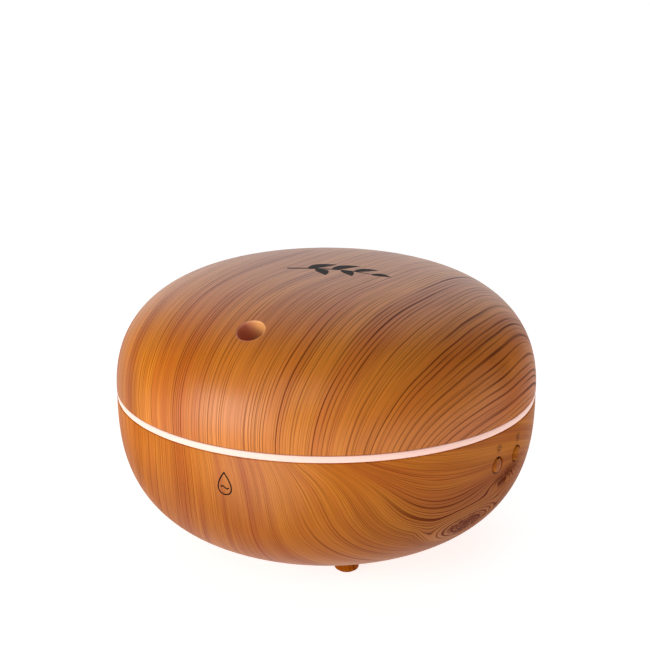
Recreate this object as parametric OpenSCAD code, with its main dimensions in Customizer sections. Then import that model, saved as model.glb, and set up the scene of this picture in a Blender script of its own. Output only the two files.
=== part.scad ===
// Ultrasonic essential oil diffuser: a pebble-shaped two-shell body with a light strip round its
// widest line, a lift-off cover with a slanted mist outlet, and a water tank over the electronics.
// Frame: +Z up, z = 0 on the table, origin on the body's axis, the front faces -Y.
// Azimuths are measured from the front, turning towards +X.

/* [Body] */
// Widest diameter of the body
body_d = 168; // [160:2:206]
// Height of the cover above the light strip
cover_h = 47; // [40:0.5:58]
// Height of the bowl below the light strip
bowl_h = 55.7; // [47:0.1:68]
// How far the bowl's curve would run on below its flat bottom before it closed
bowl_runout = 4.9; // [4:0.1:7]
// Height of the light strip that shows between the shells
strip_h = 2.5; // [2:0.1:4]
// Height of the feet, pads included
foot_h = 6.5; // [5.5:0.1:9]
// Wall of the cover
cover_t = 2.6; // [2:0.1:3.2]
// Wall of the bowl
shell_t = 2.4; // [2:0.1:2.9]
// Rounding of the rims beside the light strip
rim_r = 0.5; // [0.3:0.1:0.8]
// Gap between the cover's rim and the light strip
seam = 0.1; // [0.05:0.05:0.3]

/* [Mist outlet] */
// Bore of the mist outlet
outlet_d = 10; // [8:0.5:14]
// Distance of the outlet's centre in from the body's widest line
outlet_inset = 21.6; // [19:0.2:26]
// Wall of the spout round the outlet
spout_t = 2.2; // [1.5:0.1:3]
// Length of the spout below the cover's surface
spout_l = 13; // [12:0.5:16]
// Radius of the mist guide's open mouth
mouth_r = 15; // [12:0.5:17]
// Height of the mouth's centre above the light strip
mouth_up = 9; // [8.5:0.5:14]

/* [Water tank] */
// Gap between the body's widest line and the tank's wall at its rim
tank_gap = 12.6; // [12.4:0.1:15]
// Wall of the tank
tank_t = 2.2; // [1.8:0.1:2.8]
// Space between the bottom cover and the tank's floor
under_h = 20.1; // [19:0.1:24]
// Inner radius at the foot of the tank's wall
tank_fillet = 6; // [4:0.5:9]
// Height of the full mark above the tank's floor
water_h = 25; // [12:0.5:28]
// Bore of the air column in the tank
column_d = 16; // [14:0.5:17]
// Height of the air column above the light strip
column_up = 1.4; // [1:0.1:6]

/* [Atomiser] */
// Diameter of the ceramic disc
disc_d = 20; // [16:0.5:22]
// Thickness of the ceramic disc
disc_t = 1.2; // [0.8:0.1:2]
// Distance of the disc's centre in front of the axis
disc_y = 38; // [37:0.5:44]

/* [Fan] */
// Side of the square fan
fan_w = 35; // [30:1:35]
// Thickness of the fan
fan_h = 10; // [9:0.5:10.5]
// Number of blades
blades = 7; // [5:1:9]

/* [Buttons] */
// Diameter of the two button caps
button_d = 5.8; // [5:0.1:6.4]
// Azimuth of the point midway between the buttons
button_az = 80.5; // [76:0.5:84]
// Distance between the buttons
button_pitch = 14.6; // [14:0.2:18]
// Distance of the buttons below the light strip
button_drop = 12.8; // [12:0.2:16]
// How far a button stands out of the bowl
button_proud = 0.4; // [0.2:0.1:0.5]
// How far a button travels when pressed
button_travel = 0.5; // [0.3:0.1:0.6]

/* [Feet and power inlet] */
// Diameter of the feet
foot_d = 9.6; // [9:0.1:11]
// Distance of the feet from the axis
foot_r = 40.8; // [40:0.2:42]
// Azimuth of the front feet, to either side
foot_az = 37; // [34:0.5:40]
// Bore of the power inlet
jack_bore_d = 5.7; // [5.5:0.1:6.5]
// Diameter of the inlet's centre pin
jack_pin_d = 2.1; // [1.7:0.1:2.5]
// Width of the notch that the cord leaves by
notch_w = 7; // [5:0.5:9]

/* [Hidden] */
$fn = 72;

fit = 0.3;           // clearance between moulded pieces that drop into each other
slip = 0.05;         // radial clearance of a screw or a shaft in its hole
curve_steps = 30;    // straight steps in each half of the body's outline
cover_nr = 3.09;     // how square the cover's outline is, across and up
cover_nz = 2.33;
bowl_nr = 3.02;      // how square the bowl's outline is, across and down
bowl_nz = 2.68;

// Levels and radii of the body
body_r = body_d / 2;
bowl_z = foot_h + bowl_h;
cover_z = bowl_z + strip_h;
bowl_tip = bowl_h + bowl_runout;

// ---------- The body's outline ----------
// A quarter of a superellipse: a across, h along the axis, t in degrees from the widest line.
function curve_point(a, h, nr, nz, t) = [a * pow(cos(t), 2 / nr), h * pow(sin(t), 2 / nz)];
function curve_normal(a, h, nr, nz, p) =
    let (g = [nr / a * pow(p.x / a, nr - 1), nz / h * pow(max(p.y, 0) / h, nz - 1)])
    g / norm(g);
// The curve moved inwards by inset; its steps shorten towards the pole, where the curve is flattest.
function curve(a, h, nr, nz, inset, t_end = 90) = [
    for (i = [0 : curve_steps])
        let (t = t_end * (1 - pow(1 - i / curve_steps, 1.5)),
             p = curve_point(a, h, nr, nz, min(t, 90)))
        p - inset * curve_normal(a, h, nr, nz, p)
];
function cover_curve(inset) = [
    for (p = curve(body_r, cover_h, cover_nr, cover_nz, inset)) [max(p.x, 0), cover_z + p.y]
];
bowl_t_end = asin(pow(bowl_h / bowl_tip, bowl_nz / 2));
function bowl_curve(inset, t_end = bowl_t_end) = [
    for (p = curve(body_r, bowl_tip, bowl_nr, bowl_nz, inset, t_end)) [p.x, bowl_z - p.y]
];
function bowl_radius(z) = body_r * pow(1 - pow((bowl_z - z) / bowl_tip, bowl_nz), 1 / bowl_nr);
function cover_height(r) = cover_h * pow(1 - pow(r / body_r, cover_nr), 1 / cover_nz);

// ---------- Levels and places worked out from the sizes ----------
bottom_t = 2.2;                          // bottom cover plate
floor_z = foot_h + bottom_t;             // inside face of the bottom cover
tank_z = floor_z + under_h;              // underside of the tank's floor
tank_floor = tank_z + tank_t;            // wet face of the tank's floor
bottom_r = bowl_radius(foot_h);          // the bowl's flat bottom edge
opening_r = bottom_r - 1.6;              // hole in the bowl that the bottom cover fills
ledge_r = opening_r - 1.4;               // ledge that the bottom cover seats against
ledge_t = 1.7;
inner_r = body_r - shell_t;              // inside of the bowl at its rim

ring_in = body_r - tank_gap + 0.8;       // light ring round the tank's wall
lip_up = 4.2;                            // locating lip of the ring inside the cover
lip_down = 2.5;                          // locating lip of the ring inside the bowl
lip_t = 2;
cover_lip_r = body_r - cover_t - 0.5;    // outside of the upper lip
bowl_lip_r = inner_r - 0.5;              // outside of the lower lip
key_w = 3;                               // rib in the cover that sits in the lip's notch

seal_t = 0.8;                            // flat seal under the tank's flange
flange_t = 1.5;
flange_z = cover_z + seal_t;
flange_r = cover_lip_r - lip_t - 1;
rim_z = flange_z + flange_t;             // top of the tank's rim
tank_r = body_r - tank_gap;              // outside of the tank's wall at its rim
tank_draft = 1.4;                        // how much narrower the wall is at its foot

outlet_r = body_r - outlet_inset;
outlet_z = cover_z + cover_height(outlet_r);
outlet_n = curve_normal(body_r, cover_h, cover_nr, cover_nz, [outlet_r, cover_height(outlet_r)]);
outlet_tilt = atan2(outlet_n.x, outlet_n.y);
spout_r = outlet_d / 2 + spout_t;
edge_break = 0.6;                        // bevel round the outlet's mouth
guide_t = 1.4;
guide_l = (outlet_z - cover_z - mouth_up) / cos(outlet_tilt);
guide_flange_w = 9;                      // depth of the guide's flange under the cover's surface
guide_flange_t = 1.6;
guide_screw_r = spout_r + 4.8;

column_wall = 2;
hood_wall = 1.3;
hood_lap = 2;                            // how far the hood's skirt laps down over the fan
fan_x = -(fan_w / 2 + 7);                // the fan stands left of the power inlet
fan_z = floor_z + 2.3;
fan_top = fan_z + fan_h;
fan_hole = fan_w / 2 - 3;                // offset of the fan's corner holes
hood_w = fan_w + 2 * (fit + hood_wall);
hood_top = tank_z - 1.4;
hood_in = fan_w / 2 - 0.4;               // half-width of the hood's inside above the fan
column_x = fan_x - fan_w / 2 + column_d / 2 + 1;

disc_bore_r = disc_d / 2 - 2;            // window of the disc
seal_r = disc_d / 2 + 1.8;               // outside of the disc's seal
seal_h = disc_t + 2.4;
sump_wall = 3;
sump_h = 7;                              // how far the sump's collar hangs below the tank's floor
clamp_t = 1.6;
clamp_screw_r = seal_r + sump_wall + 2.8;
sump_z = tank_z - sump_h;

led_z = bowl_z - 6.2;
led_t = 1.6;
led_in = tank_r + 3.6;
led_out = inner_r - 1.1;
led_count = 12;
tab_azimuths = [for (k = [0 : 5]) 50 + 60 * k];

button_z = bowl_z - button_drop;
button_face = bowl_radius(button_z) - (body_r - sqrt(body_r * body_r - pow(button_pitch / 2, 2)));
button_fit = 0.3;
flange_out = button_face - shell_t - 1.3; // outer face of a button's flange
button_flange_t = 1;
stem_end = flange_out - button_flange_t; // where a button meets its switch
switch_w = 6;
switch_h = 3.5;
switch_stem_d = 3.4;
switch_reach = 1.5;                      // stem showing above the switch body
board_out = stem_end - switch_reach - switch_h;
button_board_t = 1.2;
button_flange_w = 1;
button_board_h = 9.4;
button_screw_y = button_pitch / 2 + button_d / 2 + button_flange_w + 2.7;
button_board_w = 2 * button_screw_y + 5.6;

board_w = 34;
board_d = 32;
board_t = 1.6;
board_x = 25;
board_z = floor_z + 4.3;
board_top = board_z + board_t;
board_hole = [14, 13];
header_w = 7;
header_d = 4.6;
header_h = 5;
// The plugs' sockets on the board: x and y of the middle, and the way the wires leave.
power_header = [-14.5, 6.8, 180];
fan_header = [-14.5, -3.5, 180];
disc_header = [-6, -13.5, -90];
button_header = [5.5, -13.5, -90];
led_header = [5, 13.5, 90];
lead_gap = 1.7;                          // distance between the two wires of a lead
led_lead_r = (led_in + led_out) / 2 - 1; // where the light ring's wires leave its board
led_lead_az = 143.2;

jack_r = 4.2;
jack_l = 14;
jack_half = 4.5;
jack_y = 26;                             // face of the inlet
jack_z = floor_z + jack_r + 0.4;
jack_bore_l = 9.5;
pocket_w = 16;
pocket_t = 1.5;
pocket_top = jack_z + 5.5;
pocket_end = sqrt(pow(ledge_r - 0.6, 2) - pow(pocket_w / 2 + pocket_t, 2));

foot_places = [for (a = [foot_az, 180 - foot_az, 180 + foot_az, 360 - foot_az]) a];
pad_proud = 0.4;
pad_t = 1.4;
pad_r = foot_d / 2 - 1.4;
foot_round = 1.2;
head_seat = 5;                           // height at which the bottom screws' heads seat
post_r = 3.8;

// ---------- Small shared shapes ----------
module revolve(points) rotate_extrude() polygon(points);
module band(r_in, r_out, z0, z1) rotate_extrude() translate([r_in, z0]) square([r_out - r_in, z1 - z0]);
module sector(r_in, r_out, z0, z1, az, wide)
    rotate([0, 0, az - 90 - wide / 2]) rotate_extrude(angle = wide)
        translate([r_in, z0]) square([r_out - r_in, z1 - z0]);
module disc(r, z0, z1) translate([0, 0, z0]) cylinder(r = r, h = z1 - z0);
module radial(az) rotate([0, 0, az - 90]) children();
module block(x0, x1, y0, y1, z0, z1) translate([x0, y0, z0]) cube([x1 - x0, y1 - y0, z1 - z0]);
module at_feet() for (a = foot_places) rotate([0, 0, a]) translate([0, -foot_r, 0]) children();
module at_corners(x, y) for (i = [-1, 1], j = [-1, 1]) translate([i * x, j * y, 0]) children();
module outlet_frame() translate([0, -outlet_r, outlet_z]) rotate([outlet_tilt, 0, 0]) children();
module at_guide_screws() for (a = [30, 150, 270]) rotate([0, 0, a]) translate([guide_screw_r, 0, 0])
    children();
module at_clamp_screws()
    translate([0, -disc_y, 0]) for (a = [30, 150, 270]) rotate([0, 0, a])
        translate([clamp_screw_r, 0, 0]) children();

// A screw whose head's seat is at z = 0: the head is above it and the shank below it.
module screw(head_r, head_h, shank_r, shank_l) {
    difference() {
        union() {
            cylinder(r = head_r, h = head_h * 0.6);
            translate([0, 0, head_h * 0.6]) cylinder(r1 = head_r, r2 = head_r * 0.72, h = head_h * 0.4);
        }
        for (a = [0, 90]) rotate([0, 0, a])
            translate([-head_r * 0.55, -head_r * 0.12, head_h * 0.4])
                cube([head_r * 1.1, head_r * 0.24, head_h]);
    }
    translate([0, 0, -shank_l]) cylinder(r = shank_r, h = shank_l);
}

// ---------- Wires ----------
// A smooth wire beside a Bezier curve, as one closed polyhedron with eight sides. side is a
// direction that the curve never runs along, and off is the wire's distance from the curve.
wire_r = 0.65;
wire_sides = 8;
wire_steps = 22;
function bezier(p, t) =
    pow(1 - t, 3) * p[0] + 3 * t * pow(1 - t, 2) * p[1] + 3 * t * t * (1 - t) * p[2] + pow(t, 3) * p[3];
function bezier_way(p, t) =
    pow(1 - t, 2) * (p[1] - p[0]) + 2 * t * (1 - t) * (p[2] - p[1]) + t * t * (p[3] - p[2]);
function wire_ring(p, t, side, off) =
    let (w = bezier_way(p, t) / norm(bezier_way(p, t)),
         u = cross(side, w) / norm(cross(side, w)),
         v = cross(w, u))
    [for (k = [0 : wire_sides - 1])
        let (a = 360 * k / wire_sides)
        bezier(p, t) + (off + wire_r * cos(a)) * u + wire_r * sin(a) * v];
module wire(p, side, off) {
    rings = [for (i = [0 : wire_steps]) wire_ring(p, i / wire_steps, side, off)];
    points = [for (ring = rings) each ring];
    n = wire_sides;
    walls = [for (i = [0 : wire_steps - 1], k = [0 : n - 1])
        let (a = i * n + k, b = i * n + (k + 1) % n)
        each [[a, a + n, b], [b, a + n, b + n]]];
    start = [for (k = [1 : n - 2]) [0, k, k + 1]];
    last = wire_steps * n;
    end = [for (k = [1 : n - 2]) [last, last + k + 1, last + k]];
    polyhedron(points, concat(walls, start, end));
}
module wire_pair(p, side)
    for (s = [-0.5, 0.5]) wire(p, side, s * lead_gap);

// ---------- Cover ----------
module cover_solid(inset) revolve(concat([[0, cover_z]], cover_curve(inset)));

module top_cover() color("peru") {
    outer = cover_curve(0);
    inner = cover_curve(cover_t);
    base = cover_z + seam;
    difference() {
        union() {
            revolve(concat(
                [[body_r - rim_r, base], [body_r, base + rim_r]],
                [for (p = outer) if (p.y > base + rim_r + 0.2) p],
                [for (i = [len(inner) - 1 : -1 : 0]) if (inner[i].y > base + 0.2) inner[i]],
                [[body_r - cover_t, base]]));
            intersection() {
                cover_solid(cover_t / 2);
                outlet_frame() {
                    translate([0, 0, -spout_l]) cylinder(r = spout_r, h = spout_l);
                    at_guide_screws() translate([0, 0, -guide_flange_w])
                        cylinder(r = 2.8, h = guide_flange_w);
                }
            }
            // The rib that keeps the cover from turning in the light ring
            intersection() {
                cover_solid(cover_t / 2);
                block(-key_w / 2, key_w / 2, -body_r, -(cover_lip_r - lip_t), base, base + lip_up);
            }
        }
        outlet_frame() {
            translate([0, 0, -spout_l - 1]) cylinder(d = outlet_d, h = spout_l + 6);
            // The broken edge of the outlet
            translate([0, 0, -edge_break]) cylinder(r1 = outlet_d / 2, r2 = outlet_d / 2 + 2 *
                edge_break, h = 2 * edge_break);
            at_guide_screws() translate([0, 0, -guide_flange_w - 1]) cylinder(r = 1.15 + slip, h = 5.4);
        }
    }
}

module mist_guide() color("white") outlet_frame() difference() {
    union() {
        revolve([
            [spout_r + 0.15, -guide_flange_w], [spout_r + 1.5, -guide_flange_w],
            [spout_r + 1.5, -spout_l - 1.6], [mouth_r + guide_t, -guide_l],
            [mouth_r, -guide_l], [outlet_d / 2 + 0.3, -spout_l - 1.6],
            [outlet_d / 2 + 0.3, -spout_l - 0.8], [spout_r + 0.15, -spout_l - 0.8]]);
        translate([0, 0, -guide_flange_w - guide_flange_t])
            difference() {
                cylinder(r = guide_screw_r + 3, h = guide_flange_t);
                translate([0, 0, -1]) cylinder(r = spout_r + 0.8, h = guide_flange_t + 2);
            }
    }
    at_guide_screws() translate([0, 0, -guide_flange_w - guide_flange_t - 1])
        cylinder(r = 1.15 + 0.2, h = guide_flange_t + 2);
}

module guide_seal() color("whitesmoke") outlet_frame()
    band(outlet_d / 2 + 0.3, spout_r, -spout_l - 0.8, -spout_l);

module guide_screws() color("silver") outlet_frame() at_guide_screws()
    translate([0, 0, -guide_flange_w - guide_flange_t]) mirror([0, 0, 1]) screw(2.2, 1.6, 1.15, 5.4);

// ---------- Light ring and bowl ----------
module light_ring() color("mistyrose") difference() {
    revolve([
        [ring_in, bowl_z], [bowl_lip_r - lip_t, bowl_z], [bowl_lip_r - lip_t, bowl_z - lip_down],
        [bowl_lip_r, bowl_z - lip_down], [bowl_lip_r, bowl_z],
        [body_r, bowl_z], [body_r, cover_z],
        [cover_lip_r, cover_z], [cover_lip_r, cover_z + lip_up], [cover_lip_r - lip_t, cover_z + lip_up],
        [cover_lip_r - lip_t, cover_z], [ring_in, cover_z]]);
    // Notch for the cover's rib
    block(-key_w / 2 - fit, key_w / 2 + fit, -body_r, -(flange_r + 0.5), cover_z, cover_z + lip_up + 1);
}

module bowl_solid(inset) revolve(concat([[0, bowl_z]], bowl_curve(inset), [[0, foot_h + inset]]));

module lower_shell() color("peru") {
    outer = bowl_curve(0);
    inner = bowl_curve(shell_t, 89);
    shelf = floor_z + ledge_t;
    difference() {
        union() {
            revolve(concat(
                [[body_r - shell_t, bowl_z], [body_r - rim_r, bowl_z], [body_r, bowl_z - rim_r]],
                [for (p = outer) if (p.y < bowl_z - rim_r - 0.2) p],
                [[opening_r, foot_h], [opening_r, floor_z], [ledge_r, floor_z], [ledge_r, shelf]],
                [for (i = [len(inner) - 1 : -1 : 0])
                    if (inner[i].y > shelf + 0.2 && inner[i].y < bowl_z - 0.2) inner[i]]));
            intersection() {
                bowl_solid(shell_t / 2);
                union() {
                    // Tabs under the LED board
                    for (a = tab_azimuths) sector(led_in + 2, body_r, led_z - 3, led_z, a, 9);
                    // Posts of the button board
                    radial(button_az) for (s = [-1, 1])
                        translate([board_out, s * button_screw_y, button_z])
                        rotate([0, 90, 0]) cylinder(r = 2.4, h = body_r - board_out);
                    // Walls of the cord's channel
                    block(-notch_w / 2 - 1.5, notch_w / 2 + 1.5, ledge_r - 1, bowl_radius(jack_z),
                          foot_h, jack_z + notch_w / 2 + 1.5);
                }
            }
        }
        // Holes for the buttons
        radial(button_az) for (s = [-1, 1]) translate([board_out, s * button_pitch / 2, button_z])
            rotate([0, 90, 0]) cylinder(r = button_d / 2 + button_fit, h = body_r - board_out + 5);
        radial(button_az) for (s = [-1, 1]) translate([board_out - 1, s * button_screw_y, button_z])
            rotate([0, 90, 0]) cylinder(r = 0.9 + slip, h = 6);
        for (k = [0 : 2 : 4]) rotate([0, 0, tab_azimuths[k]])
            translate([0, -(led_in + led_out) / 2 - 1, led_z - 2.6]) cylinder(r = 0.8 + slip, h = 3);
        // The cord's channel, open below
        translate([0, ledge_r - 2, jack_z]) rotate([-90, 0, 0]) cylinder(r = notch_w / 2, h = body_r);
        block(-notch_w / 2, notch_w / 2, ledge_r - 2, body_r, foot_h - 1, jack_z);
    }
}

// ---------- Tank ----------
module tank_wall_outline() {
    // Cross-section of the bowl of the tank, floor included
    foot_out = tank_r - tank_draft;
    foot_in = foot_out - tank_t;
    fillet_out = tank_fillet + tank_t;
    arc_out = [for (i = [0 : 6]) let (a = -90 + 15 * i)
        [foot_out - fillet_out + fillet_out * cos(a), tank_z + fillet_out + fillet_out * sin(a)]];
    arc_in = [for (i = [6 : -1 : 0]) let (a = -90 + 15 * i)
        [foot_in - tank_fillet + tank_fillet * cos(a), tank_floor + tank_fillet + tank_fillet * sin(a)]];
    polygon(concat(
        [[0, tank_z]], arc_out,
        [[tank_r, flange_z], [flange_r, flange_z], [flange_r, rim_z], [tank_r - tank_t, rim_z]],
        arc_in, [[0, tank_floor]]));
}

module water_tank() color("ivory") difference() {
    union() {
        rotate_extrude() tank_wall_outline();
        // Air column
        translate([column_x, 0, 0]) disc(column_d / 2 + column_wall, tank_z, cover_z + column_up);
        // Collar that holds the disc's seal, and the bosses of its clamp
        translate([0, -disc_y, 0]) disc(seal_r + sump_wall, sump_z, tank_floor - 0.5);
        at_clamp_screws() disc(3, sump_z, tank_floor - 0.5);
        // Posts that the bottom screws draw down on
        at_feet() disc(post_r, floor_z, tank_floor - 0.5);
        // Full mark
        radial(180) translate([0, 0, tank_floor + water_h])
            rotate([0, 0, -10]) rotate_extrude(angle = 20)
                translate([tank_r - tank_t - tank_draft - 0.2, 0]) square([tank_draft + 0.6, 0.8]);
    }
    translate([column_x, 0, 0]) disc(column_d / 2, tank_z - 1, cover_z + column_up + 1);
    translate([0, -disc_y, 0]) {
        disc(disc_bore_r, sump_z - 1, tank_floor + 1);
        disc(seal_r, sump_z - 1, sump_z + seal_h);
        // The dished way down to the disc
        translate([0, 0, tank_floor - 2.6])
            cylinder(r1 = disc_bore_r - 0.4, r2 = disc_bore_r + 4, h = 2.7);
    }
    at_clamp_screws() disc(1.1 + slip, sump_z - 1, sump_z + 6);
    at_feet() disc(1.45 + slip, floor_z - 1, floor_z + 13);
}

module tank_seal() color("whitesmoke") band(ring_in + 0.6, flange_r - 0.6, cover_z, flange_z);

module air_cap() color("white") translate([column_x, 0, 0]) {
    top = cover_z + column_up;
    plug_r = column_d / 2 - 0.2;
    difference() {
        union() {
            disc(plug_r, top - 5, top);
            disc(column_d / 2 + column_wall, top, top + 1.4);
        }
        disc(plug_r - 1.4, top - 6, top + 2);
    }
    for (a = [45 : 90 : 315]) rotate([0, 0, a])
        translate([column_d / 2, 0, 0]) disc(1.1, top + 1, top + 8.5);
    disc(column_d / 2 + column_wall + 0.6, top + 8, top + 9.5);
}

// ---------- Atomiser ----------
module disc_seal() color("lightgray") translate([0, -disc_y, sump_z]) revolve([
    [disc_bore_r, 0], [seal_r - 0.1, 0], [seal_r - 0.1, seal_h], [disc_bore_r, seal_h],
    [disc_bore_r, (seal_h + disc_t) / 2], [disc_d / 2, (seal_h + disc_t) / 2],
    [disc_d / 2, (seal_h - disc_t) / 2], [disc_bore_r, (seal_h - disc_t) / 2]]);

module ceramic_disc() color("gainsboro") translate([0, -disc_y, sump_z])
    disc(disc_d / 2 - slip, (seal_h - disc_t) / 2, (seal_h + disc_t) / 2);

module disc_clamp() color("silver") difference() {
    union() {
        translate([0, -disc_y, 0]) disc(seal_r + sump_wall, sump_z - clamp_t, sump_z);
        at_clamp_screws() disc(3, sump_z - clamp_t, sump_z);
    }
    translate([0, -disc_y, 0]) disc(disc_bore_r - 1.5, sump_z - clamp_t - 1, sump_z + 1);
    at_clamp_screws() disc(1.1 + 0.2, sump_z - clamp_t - 1, sump_z + 1);
}

module clamp_screws() color("silver") at_clamp_screws()
    translate([0, 0, sump_z - clamp_t]) mirror([0, 0, 1]) screw(2.1, 1.5, 1.1, 6);

// ---------- Fan ----------
module fan_hood() color("white") difference() {
    union() {
        translate([fan_x - hood_w / 2, -hood_w / 2, fan_top - hood_lap])
            cube([hood_w, hood_w, hood_top - fan_top + hood_lap]);
        translate([column_x, 0, 0]) disc(column_d / 2 - 0.2, hood_top - 0.5, hood_top + 6);
    }
    // Skirt round the fan, and the smaller space above it that leaves a step on the fan's edge
    translate([fan_x, 0, 0]) {
        block(-fan_w / 2 - fit, fan_w / 2 + fit, -fan_w / 2 - fit, fan_w / 2 + fit,
            fan_top - hood_lap - 1, fan_top);
        block(-hood_in, hood_in, -hood_in, hood_in, fan_top - 1, hood_top - hood_wall);
    }
    translate([column_x, 0, 0]) disc(column_d / 2 - 1.6, hood_top - hood_wall - 1, hood_top + 7);
}

fan_bore_r = fan_w / 2 - 1.1;
rotor_r = fan_bore_r - 0.8;
hub_r = fan_w * 0.23;
shaft_r = 1;
motor_z = 1.4;                           // thickness of the fan's motor plate

module fan_frame() color("dimgray") translate([fan_x, 0, fan_z]) {
    difference() {
        translate([-fan_w / 2, -fan_w / 2, 0]) cube([fan_w, fan_w, fan_h]);
        translate([0, 0, -1]) cylinder(r = fan_bore_r, h = fan_h + 2);
        at_corners(fan_hole, fan_hole) translate([0, 0, -1]) cylinder(r = 1.6, h = fan_h + 2);
    }
    difference() {
        union() {
            cylinder(r = hub_r - 0.4, h = motor_z);
            for (a = [45 : 90 : 315]) rotate([0, 0, a]) translate([hub_r - 1, -1, 0])
                cube([fan_bore_r - hub_r + 1.6, 2, motor_z]);
            cylinder(r = shaft_r + 1.6, h = fan_h - 3.4);
        }
        translate([0, 0, 0.6]) cylinder(r = shaft_r + slip, h = fan_h);
    }
}

module fan_stator() color("chocolate") translate([fan_x, 0, fan_z + motor_z]) difference() {
    union() {
        cylinder(r = shaft_r + 2.6, h = 3.6);
        for (a = [0 : 90 : 270]) rotate([0, 0, a]) translate([0, -1.2, 0.4])
            cube([hub_r - 2.2, 2.4, 2.8]);
        for (a = [0 : 90 : 270]) rotate([0, 0, a]) translate([hub_r - 3.2, -2.4, 0.4])
            cube([1, 4.8, 2.8]);
    }
    translate([0, 0, -1]) cylinder(r = shaft_r + 1.6, h = 6);
}

module fan_rotor() color("black") translate([fan_x, 0, fan_z]) {
    low = motor_z + 0.6;
    top = fan_h - 0.6;
    difference() {
        translate([0, 0, low]) cylinder(r = hub_r, h = top - low);
        translate([0, 0, low - 1]) cylinder(r = hub_r - 1.1, h = top - low);
    }
    translate([0, 0, 1]) cylinder(r = shaft_r, h = top - 1.5);
    intersection() {
        difference() {
            translate([0, 0, low]) cylinder(r = rotor_r, h = top - low);
            translate([0, 0, low - 1]) cylinder(r = hub_r - 0.5, h = top);
        }
        for (k = [0 : blades - 1]) rotate([0, 0, 360 * k / blades])
            translate([(hub_r + rotor_r) / 2, 0, (low + top) / 2]) rotate([48, 0, 0])
                cube([rotor_r - hub_r + 3, 0.9, (top - low) * 1.7], center = true);
    }
}

module fan_screws() color("silver") translate([fan_x, 0, fan_top])
    at_corners(fan_hole, fan_hole) screw(2.4, 1.8, 1.25, fan_top - floor_z + 0.8);

// ---------- Lights ----------
module led_board() color("honeydew") difference() {
    band(led_in, led_out, led_z, led_z + led_t);
    for (k = [0 : 2 : 4]) rotate([0, 0, tab_azimuths[k]])
        translate([0, -(led_in + led_out) / 2 - 1, led_z - 1]) cylinder(r = 1, h = led_t + 2);
}

module led_chips() color("lightyellow") for (k = [0 : led_count - 1]) radial(5 + 360 * k / led_count)
    translate([(led_in + led_out) / 2 - 1.4, -1.75, led_z + led_t]) cube([2.8, 3.5, 1]);

module led_board_screws() color("silver") for (k = [0 : 2 : 4]) rotate([0, 0, tab_azimuths[k]])
    translate([0, -(led_in + led_out) / 2 - 1, led_z + led_t]) screw(1.6, 1, 0.8, led_t + 2.2);

// ---------- Buttons ----------
module button_cap(side) color("peru") intersection() {
    translate([0, 0, 0]) bowl_solid(-button_proud);
    radial(button_az) translate([0, side * button_pitch / 2, button_z]) rotate([0, 90, 0]) {
        translate([0, 0, stem_end]) cylinder(r = button_d / 2 + button_flange_w, h = button_flange_t);
        translate([0, 0, flange_out - 0.2]) cylinder(d = button_d, h = button_face - flange_out - 0.2);
        translate([0, 0, button_face - 0.4])
            cylinder(d1 = button_d, d2 = button_d - 2.6, h = button_proud + 0.4);
    }
}
module light_button() button_cap(-1);
module mist_button() button_cap(1);

module switch_stem(side) color("dimgray") radial(button_az)
    translate([stem_end - switch_reach - 1.2, side * button_pitch / 2, button_z]) rotate([0, 90, 0])
        cylinder(d = switch_stem_d, h = switch_reach + 1.2);
module light_switch_stem() switch_stem(-1);
module mist_switch_stem() switch_stem(1);

module switch_bodies() color("black") radial(button_az) for (s = [-1, 1])
    translate([board_out, s * button_pitch / 2, button_z]) difference() {
        translate([0, -switch_w / 2, -switch_w / 2]) cube([switch_h, switch_w, switch_w]);
        translate([1.2, 0, 0]) rotate([0, 90, 0]) cylinder(d = switch_stem_d + 0.2, h = switch_h);
    }

module button_board() color("seagreen") radial(button_az) difference() {
    block(board_out - button_board_t, board_out, -button_board_w / 2, button_board_w / 2,
          button_z - button_board_h / 2, button_z + button_board_h / 2);
    for (s = [-1, 1]) translate([board_out - button_board_t - 1, s * button_screw_y, button_z])
        rotate([0, 90, 0]) cylinder(r = 1.1, h = button_board_t + 2);
}

module button_board_screws() color("silver") radial(button_az) for (s = [-1, 1])
    translate([board_out - button_board_t, s * button_screw_y, button_z]) rotate([0, -90, 0])
        screw(1.7, 1.1, 0.9, button_board_t + 4.6);

// ---------- Main board ----------
module at_board() translate([board_x, 0, 0]) children();

module main_board() color("seagreen") at_board() difference() {
    block(-board_w / 2, board_w / 2, -board_d / 2, board_d / 2, board_z, board_top);
    at_corners(board_hole.x, board_hole.y) disc(1.5, board_z - 1, board_top + 1);
}

module board_screws() color("silver") at_board() at_corners(board_hole.x, board_hole.y)
    translate([0, 0, board_top]) screw(2.2, 1.6, 1.1, board_t + 3.6);

module capacitors() color("midnightblue") at_board() {
    translate([-7, 4, 0]) disc(4, board_top, board_top + 11);
    translate([-7.5, -5, 0]) disc(3.15, board_top, board_top + 9);
    translate([0, -8, 0]) disc(2.5, board_top, board_top + 7);
}

module inductors() color("chocolate") at_board() for (p = [[1.2, 6.8], [1.8, -1.6]])
    translate([p.x, p.y, 0]) {
    disc(4, board_top, board_top + 1);
    disc(2.9, board_top + 1, board_top + 6.5);
    disc(4, board_top + 6.5, board_top + 7.5);
}

module power_transistor() color("black") at_board() {
    block(8, 12.4, -6, 4, board_top + 3, board_top + 11);
    for (y = [-3.5, -1, 1.5]) block(9.6, 10.4, y - 0.4, y + 0.4, board_top, board_top + 3);
}

module heat_sink() color("lightgray") at_board() {
    block(12.4, 13.6, -9, 7, board_top, board_top + 12.2);
    for (y = [-9, -5, -1, 3, 6]) block(13.6, 16.4, y, y + 1, board_top + 4, board_top + 12.2);
}

module control_chips() color("black") at_board() {
    block(6.2, 10.2, 5, 10, board_top, board_top + 1.5);
    block(-10, -5, 10, 14, board_top, board_top + 1.2);
}

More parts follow.
